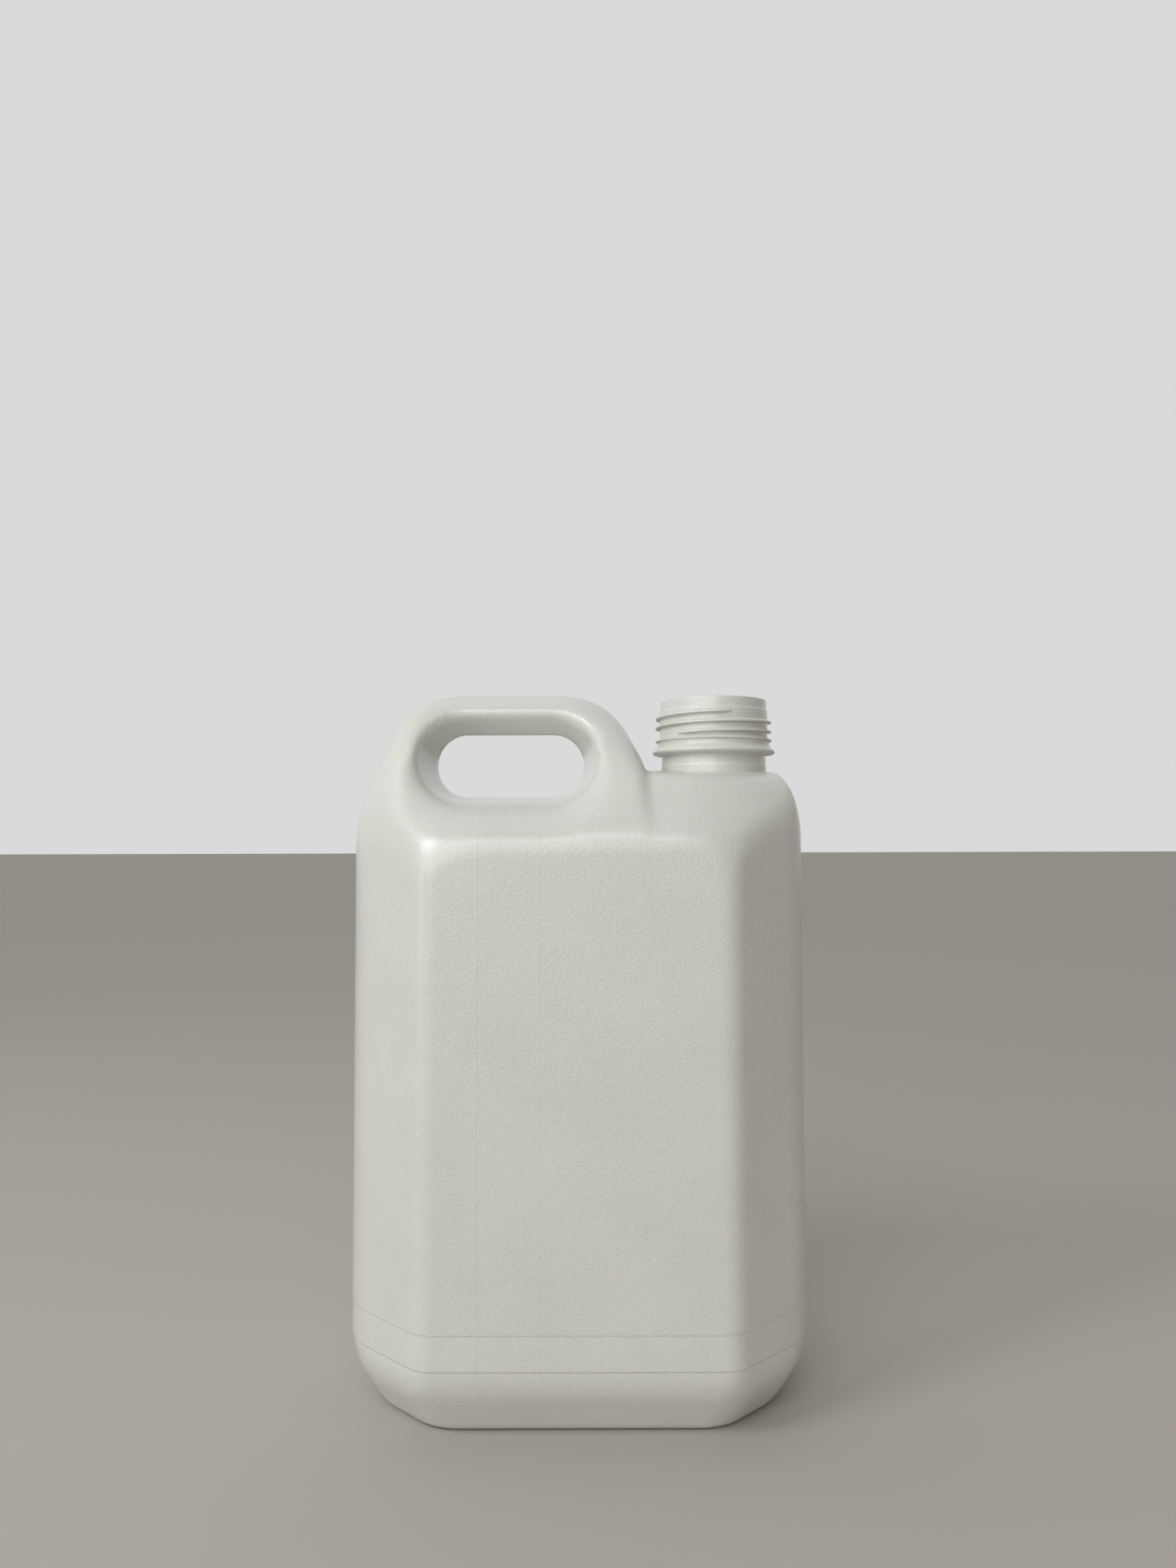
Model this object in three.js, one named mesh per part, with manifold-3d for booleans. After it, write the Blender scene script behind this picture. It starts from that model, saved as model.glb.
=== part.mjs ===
import * as THREE from "three";
import { mergeVertices } from "three/addons/utils/BufferGeometryUtils.js";
import Module from "manifold-3d";

// Three litre plastic jerrycan, open at its neck. Sizes in millimetres, +Z up, the front faces -Y,
// the screw neck is on the +X side and the handle on the -X side. The origin is the centre of the base.

// Body
const HALF_WIDTH = 83.8;
const HALF_DEPTH = 53;
const FACET_LEG = 29.5;
const FRONT_EDGE_BLEND = 3.4;
const SIDE_EDGE_BLEND = 8.9;
const WALL = 1.4;

// Sloping chamfer all round the base
const FRONT_INSET = 12.2;
const FRONT_RISE = 19;
const SIDE_INSET = 9.4;
const SIDE_RISE = 20;
const CORNER_INSET = 11.7;
const CORNER_RISE = 17;
const FOOT_EDGE_BLEND = 5;
const CHAMFER_BLEND = 4;
const BASE_BLEND = 2.5;

// Shoulder on the neck side
const SHOULDER_Z = 204.5;
const SHOULDER_SLOPE = 1;
const PLATFORM_Z = 229.3;
const PLATFORM_BLEND = 6.5;
const CORNER_POINT = [82.8, 215];
const CORNER_SLOPE = 0.5;
const CORNER_BLEND = 2;
const HIP_TURN = THREE.MathUtils.degToRad(31);
const HIP_SLOPE = 1.458;
const HIP_REACH = 309.6;
const HIP_BLEND = 8;
const SHOULDER_EDGE_BLEND = 4;

// Softened upper corners of the front and back panels
const PANEL_CORNER_SIDE = new THREE.Vector3(0.33, 0.9, 0.28).normalize();
const PANEL_CORNER_DEPTH = 2.2;
const PANEL_CORNER_BLEND = 3;

// Handle side: a steeper roof, a side that leans in, and a round top
const HANDLE_SLOPE = 1.24;
const HANDLE_TOP_Z = 260.9;
const HANDLE_TOP_BLEND = 12;
const LEAN_Z = 212.2;
const LEAN = 0.425;
const LEAN_BLEND = 6.7;
const CORNER_LEAN_Z = 210.6;
const CORNER_LEAN = 0.405;
const CORNER_LEAN_BLEND = 17;
const TOP_CORNER = [-70.6, 252.3];
const TOP_CORNER_ANGLE = THREE.MathUtils.degToRad(48.4);
const TOP_CORNER_BLEND = 6.9;
const LEG_POINT = [16.6, 249.2];
const LEG_SLOPE = 0.459;
const LEG_BLEND = 18.1;
const LEG_FOOT_POINT = [25, 229];
const LEG_FOOT_SLOPE = 0.1;
const LEG_FOOT_BLEND = 2;
const LEG_EDGE_BLEND = 6;
const LEG_EDGE_LOW = 225;
const LEG_EDGE_HIGH = 245;
const LEG_JOIN_BLEND = 1.6;

// Finger hole: its outline at the middle, and how fast it widens towards the front and the back
const HOLE_LEFT = -54.8;
const HOLE_RIGHT = 2;
const HOLE_BOTTOM = 220.3;
const HOLE_TOP = 244.6;
const FLARE_LEFT = 0.27;
const FLARE_RIGHT = 0.24;
const FLARE_BOTTOM = 0.12;
const FLARE_TOP = 0.6;
const HOLE_WAIST = 4;
const HOLE_ROUNDNESS = 0.97;
const LIP_BLEND = 3;
const LIP_HEIGHTS = [214, 236, 238, 248];
const SILL_BLEND = 13;
const BAR_BLEND = 6;

// Screw neck
const NECK_X = 52.6;
const NECK_ROOT_Z = 226;
const NECK_ROOT_RADIUS = 20.3;
const NECK_STEP_Z = [232, 232.4];
const NECK_LOW_RADIUS = 20.1;
const BEAD_RADIUS = 23.75;
const BEAD_Z = [236.1, 236.7, 237.4, 238, 239.7];
const BEAD_ROUND = [0.5, 0.3];
const GROOVE_RADIUS = 21.7;
const RING_RADIUS = 22.7;
const RING_Z = [241.2, 241.9, 243.1];
const NECK_RADIUS = 20.9;
const RIM_Z = 257.7;
const RIM_STEP_Z = [253.4, 253.9];
const RIM_RADIUS = 20.5;
const RIM_ROUND = 0.4;
const BORE_RADIUS = 18.75;
const BORE_BOTTOM_Z = 221;
const BORE_FLARE = 0.5;
const BORE_ABOVE_RIM = 2;
const NECK_SIDES = 48;

// Right-handed buttress thread
const THREAD_RADIUS = 22.5;
const THREAD_ROOT_RADIUS = 20.3;
const THREAD_PITCH = 3.6;
const THREAD_TOP_Z = 251.8;
const THREAD_START = THREE.MathUtils.degToRad(-76);
const THREAD_TURNS = 2.17;
const THREAD_STEPS = 90;
const THREAD_RUN_OUT = THREE.MathUtils.degToRad(16);
const THREAD_ABOVE_CREST = 1.5;
const THREAD_BELOW_CREST = 0.55;
const THREAD_LAND = 0.25;
const THREAD_LEAST = 0.1;

// Fineness of the surfaces
const CELL = 3;
const MARGIN = 7;
const OUTER_TRIANGLES = 3600;
const INNER_TRIANGLES = 1700;
const GRADIENT_STEP = 0.05;
const FLAT_TOLERANCE = 0.05;
const SPREAD_WEIGHT = 0.003;
const LEAST_TURN = 0.25;
const SLIVER_AREA = 1e-3;
const SLIVER_COST = 0.02;

const wasm = await Module();
wasm.setup();

// The larger of two distances, with the edge between them rounded over a width of about k.
function roundMax(a, b, k) {
  const h = Math.max(k - Math.abs(a - b), 0) / k;
  return Math.max(a, b) + h * h * k * 0.25;
}

function roundMin(a, b, k) {
  return -roundMax(-a, -b, k);
}

// A value that changes evenly from low to high while z passes from one height to another.
function between(z, fromZ, toZ, low, high) {
  return THREE.MathUtils.lerp(low, high, THREE.MathUtils.clamp((z - fromZ) / (toZ - fromZ), 0, 1));
}

// Distance of (u, z) from the line through two points, positive on the side of larger u.
function beyondLine(u, z, u0, z0, u1, z1) {
  const du = u1 - u0;
  const dz = z1 - z0;
  return ((u - u0) * dz - (z - z0) * du) / Math.hypot(du, dz);
}

// Distance above a roof that rises from the top edge of the front panel.
function aboveRoof(y, z, slope) {
  return (z - SHOULDER_Z - (HALF_DEPTH - Math.abs(y)) * slope) / Math.hypot(1, slope);
}

// The straight body with its four facets, its base chamfers and its flat base.
function bodyDistance(x, y, z) {
  const ax = Math.abs(x);
  const ay = Math.abs(y);
  const reach = (HALF_WIDTH + HALF_DEPTH - FACET_LEG) / Math.SQRT2;
  const across = (ax + ay) / Math.SQRT2;
  const wall = roundMax(
    roundMax(ay - HALF_DEPTH, across - reach, FRONT_EDGE_BLEND), ax - HALF_WIDTH, SIDE_EDGE_BLEND);
  const front = beyondLine(ay, z, HALF_DEPTH - FRONT_INSET, 0, HALF_DEPTH, FRONT_RISE);
  const side = beyondLine(ax, z, HALF_WIDTH - SIDE_INSET, 0, HALF_WIDTH, SIDE_RISE);
  const corner = beyondLine(across, z, reach - CORNER_INSET, 0, reach, CORNER_RISE);
  const chamfer = roundMax(roundMax(front, corner, FOOT_EDGE_BLEND), side, SIDE_EDGE_BLEND);
  return roundMax(roundMax(wall, chamfer, CHAMFER_BLEND), -z, BASE_BLEND);
}

// The shoulder under the neck: a roof, a flat platform, two leaning hips and the cut outer corner.
function shoulderDistance(x, y, z) {
  const roof = roundMax(aboveRoof(y, z, SHOULDER_SLOPE), z - PLATFORM_Z, PLATFORM_BLEND);
  const outward = Math.abs(y) * Math.cos(HIP_TURN) + x * Math.sin(HIP_TURN);
  const hip = (outward * HIP_SLOPE + z - HIP_REACH) / Math.hypot(1, HIP_SLOPE);
  const lean = x - CORNER_POINT[0] + (z - CORNER_POINT[1]) * CORNER_SLOPE;
  const corner = Math.max(lean / Math.hypot(1, CORNER_SLOPE), -x);
  return roundMax(roundMax(roof, hip, HIP_BLEND), corner, CORNER_BLEND);
}

// The block that the handle is cut from.
function handleDistance(x, y, z) {
  const roof = aboveRoof(y, z, HANDLE_SLOPE);
  const side = (-x - HALF_WIDTH + (z - LEAN_Z) * LEAN) / Math.hypot(1, LEAN);
  const reach = HALF_WIDTH + HALF_DEPTH - FACET_LEG;
  const facet = (Math.abs(y) - x - reach + (z - CORNER_LEAN_Z) * CORNER_LEAN)
    / Math.hypot(1, 1, CORNER_LEAN);
  const corner = (z - TOP_CORNER[1]) * Math.sin(TOP_CORNER_ANGLE)
    - (x - TOP_CORNER[0]) * Math.cos(TOP_CORNER_ANGLE);
  const slant = (x - LEG_POINT[0] + (z - LEG_POINT[1]) * LEG_SLOPE) / Math.hypot(1, LEG_SLOPE);
  const foot = x - LEG_FOOT_POINT[0] + (z - LEG_FOOT_POINT[1]) * LEG_FOOT_SLOPE;
  const leg = roundMax(slant, foot / Math.hypot(1, LEG_FOOT_SLOPE), LEG_FOOT_BLEND);
  const top = roundMax(z - HANDLE_TOP_Z, leg, LEG_BLEND);
  const edge = between(z, LEG_EDGE_LOW, LEG_EDGE_HIGH, LEG_EDGE_BLEND, HANDLE_TOP_BLEND);
  const left = roundMax(roundMax(roof, facet, CORNER_LEAN_BLEND), side, LEAN_BLEND);
  return roundMax(roundMax(left, corner, TOP_CORNER_BLEND), top, edge);
}

// The finger hole: an outline with round ends that is narrowest halfway through.
function holeDistance(x, y, z) {
  const off = Math.hypot(y, HOLE_WAIST) - HOLE_WAIST;
  const left = HOLE_LEFT - FLARE_LEFT * off;
  const right = HOLE_RIGHT + FLARE_RIGHT * off;
  const bottom = HOLE_BOTTOM - FLARE_BOTTOM * off;
  const top = HOLE_TOP + FLARE_TOP * off;
  const halfWide = (right - left) / 2;
  const halfHigh = (top - bottom) / 2;
  const radius = Math.min(halfWide, halfHigh) * HOLE_ROUNDNESS;
  const dx = Math.abs(x - (left + right) / 2) - halfWide + radius;
  const dz = Math.abs(z - (bottom + top) / 2) - halfHigh + radius;
  const outside = Math.hypot(Math.max(dx, 0), Math.max(dz, 0));
  const slant = Math.hypot(1, (FLARE_LEFT + FLARE_TOP) / 2);
  return (outside + Math.min(Math.max(dx, dz), 0) - radius) / slant;
}

// A shallow cut across the point where a panel, a facet and the roof meet.
function panelCornerDistance(x, y, z) {
  const point = new THREE.Vector3(HALF_WIDTH - FACET_LEG, HALF_DEPTH, SHOULDER_Z);
  const away = new THREE.Vector3(Math.abs(x), Math.abs(y), z).sub(point);
  return away.dot(PANEL_CORNER_SIDE) + PANEL_CORNER_DEPTH;
}

// The whole moulding without its neck: negative inside, zero on the outer surface.
function mouldingDistance(x, y, z) {
  const upper = roundMin(handleDistance(x, y, z), shoulderDistance(x, y, z), LEG_JOIN_BLEND);
  const sharp = roundMax(bodyDistance(x, y, z), upper, SHOULDER_EDGE_BLEND);
  const closed = roundMax(sharp, panelCornerDistance(x, y, z), PANEL_CORNER_BLEND);
  const sill = between(z, LIP_HEIGHTS[0], LIP_HEIGHTS[1], SILL_BLEND, LIP_BLEND);
  const lip = between(z, LIP_HEIGHTS[2], LIP_HEIGHTS[3], sill, BAR_BLEND);
  return roundMax(closed, -holeDistance(x, y, z), lip);
}

function gradient(field, p) {
  const e = GRADIENT_STEP;
  const [x, y, z] = p;
  return [
    (field(x + e, y, z) - field(x - e, y, z)) / (2 * e),
    (field(x, y + e, z) - field(x, y - e, z)) / (2 * e),
    (field(x, y, z + e) - field(x, y, z - e)) / (2 * e),
  ];
}

// Moves a point straight onto the surface of the field.
function settle(field, p) {
  for (let pass = 0; pass < 3; pass += 1) {
    const g = gradient(field, p);
    const scale = field(...p) / (g[0] ** 2 + g[1] ** 2 + g[2] ** 2);
    p = p.map((value, axis) => value - g[axis] * scale);
  }
  return p;
}

function sampleGrid(field) {
  const low = [-HALF_WIDTH - MARGIN, -HALF_DEPTH - MARGIN, -MARGIN];
  const high = [HALF_WIDTH + MARGIN, HALF_DEPTH + MARGIN, HANDLE_TOP_Z + MARGIN];
  const count = low.map((value, axis) => Math.ceil((high[axis] - value) / CELL) + 1);
  const values = new Float64Array(count[0] * count[1] * count[2]);
  const index = (i, j, k) => (k * count[1] + j) * count[0] + i;
  for (let k = 0; k < count[2]; k += 1) {
    for (let j = 0; j < count[1]; j += 1) {
      for (let i = 0; i < count[0]; i += 1) {
        values[index(i, j, k)] = field(low[0] + i * CELL, low[1] + j * CELL, low[2] + k * CELL);
      }
    }
  }
  return { low, count, values, index };
}

const CUBE_CORNERS = [0, 1, 2, 3, 4, 5, 6, 7].map((n) => [n & 1, (n >> 1) & 1, (n >> 2) & 1]);
const CUBE_EDGES = CUBE_CORNERS.flatMap((a, n) => [0, 1, 2]
  .filter((axis) => a[axis] === 0)
  .map((axis) => [n, n | (1 << axis)]));

// Middle of the crossings on one cell's edges, or null where the surface misses the cell.
function cellPoint(grid, i, j, k) {
  const at = CUBE_CORNERS.map(([a, b, c]) => grid.values[grid.index(i + a, j + b, k + c)]);
  const sum = [0, 0, 0];
  let crossings = 0;
  for (const [m, n] of CUBE_EDGES) {
    if (at[m] < 0 !== at[n] < 0) {
      const t = at[m] / (at[m] - at[n]);
      for (let axis = 0; axis < 3; axis += 1) {
        sum[axis] += CUBE_CORNERS[m][axis] + t * (CUBE_CORNERS[n][axis] - CUBE_CORNERS[m][axis]);
      }
      crossings += 1;
    }
  }
  if (crossings === 0) {
    return null;
  }
  return [i, j, k].map((cell, axis) => grid.low[axis] + (cell + sum[axis] / crossings) * CELL);
}

// Closed surface where the field is zero, one vertex in each cell that the surface passes.
function surfaceOf(field) {
  const grid = sampleGrid(field);
  const [nx, ny, nz] = grid.count;
  const points = [];
  const vertexOf = new Int32Array(nx * ny * nz).fill(-1);
  for (let k = 0; k < nz - 1; k += 1) {
    for (let j = 0; j < ny - 1; j += 1) {
      for (let i = 0; i < nx - 1; i += 1) {
        const middle = cellPoint(grid, i, j, k);
        if (middle) {
          vertexOf[grid.index(i, j, k)] = points.length;
          points.push(settle(field, middle));
        }
      }
    }
  }
  return { points, faces: quadFaces(grid, vertexOf) };
}

// Two triangles round each grid edge that the surface crosses.
function quadFaces(grid, vertexOf) {
  const [nx, ny, nz] = grid.count;
  const faces = [];
  const step = [1, nx, nx * ny];
  for (let k = 1; k < nz - 1; k += 1) {
    for (let j = 1; j < ny - 1; j += 1) {
      for (let i = 1; i < nx - 1; i += 1) {
        const here = grid.index(i, j, k);
        for (let axis = 0; axis < 3; axis += 1) {
          const inside = grid.values[here] < 0;
          if (inside !== grid.values[here + step[axis]] < 0) {
            const u = step[(axis + 1) % 3];
            const v = step[(axis + 2) % 3];
            const [a, b, c, d] = [here - u - v, here - v, here, here - u].map((n) => vertexOf[n]);
            faces.push(...(inside ? [[a, b, c], [a, c, d]] : [[a, c, b], [a, d, c]]));
          }
        }
      }
    }
  }
  return faces;
}

const minus = (a, b) => [a[0] - b[0], a[1] - b[1], a[2] - b[2]];
const dot = (a, b) => a[0] * b[0] + a[1] * b[1] + a[2] * b[2];
const cross = (a, b) => [
  a[1] * b[2] - a[2] * b[1], a[2] * b[0] - a[0] * b[2], a[0] * b[1] - a[1] * b[0],
];

function faceNormal(a, b, c) {
  return cross(minus(b, a), minus(c, a));
}

// Sum of squared distances to the planes round a vertex, held as ten coefficients.
function addPlane(q, n, p, weight) {
  const d = -dot(n, p);
  const terms = [n[0] * n[0], n[0] * n[1], n[0] * n[2], n[0] * d, n[1] * n[1],
    n[1] * n[2], n[1] * d, n[2] * n[2], n[2] * d, d * d];
  terms.forEach((term, i) => {
    q[i] += term * weight;
  });
}

function planeError(q, [x, y, z]) {
  return q[0] * x * x + q[4] * y * y + q[7] * z * z + q[9]
    + 2 * (q[1] * x * y + q[2] * x * z + q[5] * y * z + q[3] * x + q[6] * y + q[8] * z);
}

// The point with the least error, from the three normal equations.
function bestPoint(q, fallback) {
  const columns = [[q[0], q[1], q[2]], [q[1], q[4], q[5]], [q[2], q[5], q[7]]];
  const right = [-q[3], -q[6], -q[8]];
  const volume = dot(columns[0], cross(columns[1], columns[2]));
  if (Math.abs(volume) < 1e-12) {
    return fallback;
  }
  return [0, 1, 2].map((axis) => {
    const swapped = columns.map((column, n) => (n === axis ? right : column));
    return dot(swapped[0], cross(swapped[1], swapped[2])) / volume;
  });
}

class Heap {
  constructor() {
    this.items = [];
  }

  push(item) {
    const { items } = this;
    let i = items.length;
    items.push(item);
    while (i > 0 && items[(i - 1) >> 1].cost > item.cost) {
      items[i] = items[(i - 1) >> 1];
      i = (i - 1) >> 1;
    }
    items[i] = item;
  }

  pop() {
    const { items } = this;
    const first = items[0];
    const last = items.pop();
    let i = 0;
    while (2 * i + 1 < items.length) {
      let child = 2 * i + 1;
      if (child + 1 < items.length && items[child + 1].cost < items[child].cost) {
        child += 1;
      }
      if (items[child].cost >= last.cost) {
        break;
      }
      items[i] = items[child];
      i = child;
    }
    if (items.length) {
      items[i] = last;
    }
    return first;
  }
}

// Joins neighbouring vertices where the surface loses least, so flat areas get few, large triangles.
class Coarsener {
  constructor({ points, faces }) {
    this.points = points;
    this.faces = faces;
    this.live = faces.length;
    this.round = points.map(() => new Set());
    this.stamp = points.map(() => 0);
    this.errors = points.map(() => new Float64Array(10));
    faces.forEach((face, n) => this.addFace(face, n));
    this.heap = new Heap();
    points.forEach((_, a) => this.queueEdges(a, (b) => b > a));
  }

  addFace(face, n) {
    const corners = face.map((v) => this.points[v]);
    const normal = faceNormal(...corners);
    const area = Math.hypot(...normal);
    const unit = normal.map((value) => value / Math.max(area, 1e-9));
    face.forEach((v) => {
      this.round[v].add(n);
      addPlane(this.errors[v], unit, corners[0], area);
      for (let axis = 0; axis < 3; axis += 1) {
        const along = [0, 0, 0];
        along[axis] = 1;
        addPlane(this.errors[v], along, this.points[v], area * SPREAD_WEIGHT);
      }
    });
  }

  neighbours(a) {
    const found = new Set();
    this.round[a].forEach((n) => this.faces[n].forEach((v) => found.add(v)));
    found.delete(a);
    return found;
  }

  queueEdges(a, wanted) {
    this.neighbours(a).forEach((b) => {
      if (wanted(b)) {
        const q = this.errors[a].map((value, i) => value + this.errors[b][i]);
        const middle = this.points[a].map((value, axis) => (value + this.points[b][axis]) / 2);
        const point = bestPoint(q, middle);
        const marks = [this.stamp[a], this.stamp[b]];
        this.heap.push({ cost: planeError(q, point), a, b, point, q, marks });
      }
    });
  }

  // False where a join would fold the surface or pinch it.
  fits({ a, b, point }) {
    const besideB = this.neighbours(b);
    const shared = [...this.neighbours(a)].filter((v) => besideB.has(v));
    if (shared.length !== 2) {
      return false;
    }
    return [[a, b], [b, a]].every(([from, other]) => [...this.round[from]].every((n) => {
      const face = this.faces[n];
      if (face.includes(other)) {
        return true;
      }
      const before = faceNormal(...face.map((v) => this.points[v]));
      const after = faceNormal(...face.map((v) => (v === from ? point : this.points[v])));
      const size = Math.hypot(...before) * Math.hypot(...after);
      return Math.hypot(...before) < SLIVER_AREA || dot(before, after) > LEAST_TURN * size;
    }));
  }

  join({ a, b, point, q }) {
    this.points[a] = point;
    this.errors[a] = q;
    this.round[b].forEach((n) => {
      if (this.faces[n].includes(a)) {
        this.faces[n].forEach((v) => this.round[v].delete(n));
        this.faces[n] = null;
        this.live -= 1;
      } else {
        this.faces[n] = this.faces[n].map((v) => (v === b ? a : v));
        this.round[a].add(n);
      }
    });
    this.round[b].clear();
    this.stamp[a] += 1;
    this.stamp[b] += 1;
    this.queueEdges(a, () => true);
  }

  run(wanted, dearest) {
    while (this.live > wanted && this.heap.items.length && this.heap.items[0].cost < dearest) {
      const edge = this.heap.pop();
      const fresh = this.stamp[edge.a] === edge.marks[0] && this.stamp[edge.b] === edge.marks[1];
      if (fresh && this.fits(edge)) {
        this.join(edge);
      }
    }
    return { points: this.points, faces: this.faces.filter(Boolean) };
  }
}

function geometryOf({ points, faces }) {
  const geometry = new THREE.BufferGeometry();
  geometry.setAttribute("position", new THREE.Float32BufferAttribute(points.flat(), 3));
  geometry.setIndex(faces.flat());
  return geometry;
}

// A closed geometry as a solid for joining and cutting.
function solidOf(geometry) {
  const bare = geometry.clone();
  bare.deleteAttribute("normal");
  bare.deleteAttribute("uv");
  const merged = mergeVertices(bare, 1e-4);
  const index = [...merged.index.array];
  const triVerts = [];
  for (let i = 0; i < index.length; i += 3) {
    const [a, b, c] = index.slice(i, i + 3);
    if (a !== b && b !== c && c !== a) {
      triVerts.push(a, b, c);
    }
  }
  return new wasm.Manifold(new wasm.Mesh({
    numProp: 3,
    vertProperties: new Float32Array(merged.getAttribute("position").array),
    triVerts: new Uint32Array(triVerts),
  }));
}

function coarseSolid(field, triangles, floor) {
  const { points, faces } = new Coarsener(surfaceOf(field)).run(triangles, Infinity);
  const level = points.map(([x, y, z]) => [x, y, Math.abs(z - floor) < FLAT_TOLERANCE ? floor : z]);
  return solidOf(geometryOf({ points: level, faces }));
}

// Round solid about the neck's axis, from pairs of radius and height.
function neckRound(profile) {
  const outline = profile.map(([radius, z]) => new THREE.Vector2(radius, z));
  const geometry = new THREE.LatheGeometry(outline, NECK_SIDES);
  geometry.rotateX(Math.PI / 2);
  geometry.translate(NECK_X, 0, 0);
  return solidOf(geometry);
}

function neckWall() {
  return neckRound([
    [0, NECK_ROOT_Z],
    [NECK_ROOT_RADIUS, NECK_ROOT_Z],
    [NECK_ROOT_RADIUS, NECK_STEP_Z[0]],
    [NECK_LOW_RADIUS, NECK_STEP_Z[1]],
    [NECK_LOW_RADIUS, BEAD_Z[0]],
    [BEAD_RADIUS - BEAD_ROUND[0], BEAD_Z[1]],
    [BEAD_RADIUS, BEAD_Z[2]],
    [BEAD_RADIUS - BEAD_ROUND[1], BEAD_Z[3]],
    [GROOVE_RADIUS, BEAD_Z[4]],
    [GROOVE_RADIUS, RING_Z[0]],
    [RING_RADIUS, RING_Z[1]],
    [NECK_RADIUS, RING_Z[2]],
    [NECK_RADIUS, RIM_STEP_Z[0]],
    [RIM_RADIUS, RIM_STEP_Z[1]],
    [RIM_RADIUS, RIM_Z - RIM_ROUND],
    [RIM_RADIUS - RIM_ROUND, RIM_Z],
    [0, RIM_Z],
  ]);
}

function neckBore() {
  return neckRound([
    [0, BORE_BOTTOM_Z],
    [BORE_RADIUS, BORE_BOTTOM_Z],
    [BORE_RADIUS, RIM_Z - BORE_FLARE],
    [BORE_RADIUS + BORE_FLARE, RIM_Z],
    [BORE_RADIUS + BORE_FLARE, RIM_Z + BORE_ABOVE_RIM],
    [0, RIM_Z + BORE_ABOVE_RIM],
  ]);
}

// Corners of the thread's section at one angle. The thread sinks into the wall at both ends.
function threadSection(turned) {
  const whole = THREAD_TURNS * Math.PI * 2;
  const end = Math.min(turned, whole - turned, THREAD_RUN_OUT) / THREAD_RUN_OUT;
  const lowest = THREAD_ROOT_RADIUS + THREAD_LEAST;
  const crest = lowest + (THREAD_RADIUS - lowest) * Math.sqrt(end);
  const z = THREAD_TOP_Z - (THREAD_PITCH * turned) / (Math.PI * 2);
  const angle = THREAD_START - turned;
  return [
    [THREAD_ROOT_RADIUS, z - THREAD_BELOW_CREST],
    [crest, z - THREAD_LAND],
    [crest, z + THREAD_LAND],
    [THREAD_ROOT_RADIUS, z + THREAD_ABOVE_CREST],
  ].map(([radius, height]) => [
    NECK_X + radius * Math.cos(angle), radius * Math.sin(angle), height,
  ]);
}

function neckThread() {
  const points = [];
  const faces = [];
  for (let step = 0; step <= THREAD_STEPS; step += 1) {
    points.push(...threadSection((step / THREAD_STEPS) * THREAD_TURNS * Math.PI * 2));
  }
  for (let step = 0; step < THREAD_STEPS; step += 1) {
    for (let corner = 0; corner < 4; corner += 1) {
      const next = (corner + 1) % 4;
      const [a, b] = [step * 4 + corner, step * 4 + next];
      faces.push([a, a + 4, b], [b, a + 4, b + 4]);
    }
  }
  const last = THREAD_STEPS * 4;
  faces.push([0, 1, 2], [0, 2, 3], [last, last + 2, last + 1], [last, last + 3, last + 2]);
  return solidOf(geometryOf({ points, faces }));
}

// Joins the vertices that a cut left almost on top of each other.
function withoutSlivers({ vertProperties, triVerts }) {
  const points = [];
  const faces = [];
  for (let i = 0; i < vertProperties.length; i += 3) {
    points.push([...vertProperties.slice(i, i + 3)]);
  }
  for (let i = 0; i < triVerts.length; i += 3) {
    faces.push([...triVerts.slice(i, i + 3)]);
  }
  return new Coarsener({ points, faces }).run(0, SLIVER_COST);
}

function jerrycan() {
  const inside = (x, y, z) => mouldingDistance(x, y, z) + WALL;
  const shell = coarseSolid(mouldingDistance, OUTER_TRIANGLES, 0);
  const cavity = coarseSolid(inside, INNER_TRIANGLES, WALL);
  const solid = shell.add(neckWall()).add(neckThread()).subtract(cavity).subtract(neckBore());
  const geometry = geometryOf(withoutSlivers(solid.getMesh()));
  geometry.computeVertexNormals();
  return geometry;
}

const plastic = new THREE.MeshStandardMaterial({ color: 0xcfcfc7, roughness: 0.45, metalness: 0 });
const can = new THREE.Mesh(jerrycan(), plastic);
can.name = "jerrycan";

const part = new THREE.Group();
part.add(can);

export default part;
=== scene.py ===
import math

import bmesh
import bpy
import numpy as np
from mathutils import Matrix, Vector


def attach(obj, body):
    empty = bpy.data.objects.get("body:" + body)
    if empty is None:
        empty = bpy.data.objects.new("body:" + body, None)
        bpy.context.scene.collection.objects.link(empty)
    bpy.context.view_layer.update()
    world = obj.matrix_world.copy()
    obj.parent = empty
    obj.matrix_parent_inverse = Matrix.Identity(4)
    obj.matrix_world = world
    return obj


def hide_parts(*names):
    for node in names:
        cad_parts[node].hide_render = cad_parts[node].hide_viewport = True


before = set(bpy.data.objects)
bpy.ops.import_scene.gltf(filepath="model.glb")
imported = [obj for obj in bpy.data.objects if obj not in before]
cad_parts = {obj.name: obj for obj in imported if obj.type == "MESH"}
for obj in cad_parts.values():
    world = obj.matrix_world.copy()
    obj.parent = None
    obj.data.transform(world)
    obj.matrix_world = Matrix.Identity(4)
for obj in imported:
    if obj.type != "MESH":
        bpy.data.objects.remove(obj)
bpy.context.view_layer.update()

# Sizes of the can in millimetres, the same as the solid model's
HALF_WIDTH = 83.8
HALF_DEPTH = 53.0
FACET_LEG = 29.5
FRONT_EDGE_BLEND = 3.4
SIDE_EDGE_BLEND = 8.9
WALL = 1.4

FRONT_INSET = 12.2
FRONT_RISE = 19.0
SIDE_INSET = 9.4
SIDE_RISE = 20.0
CORNER_INSET = 11.7
CORNER_RISE = 17.0
FOOT_EDGE_BLEND = 5.0
CHAMFER_BLEND = 4.0
BASE_BLEND = 2.5

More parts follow.
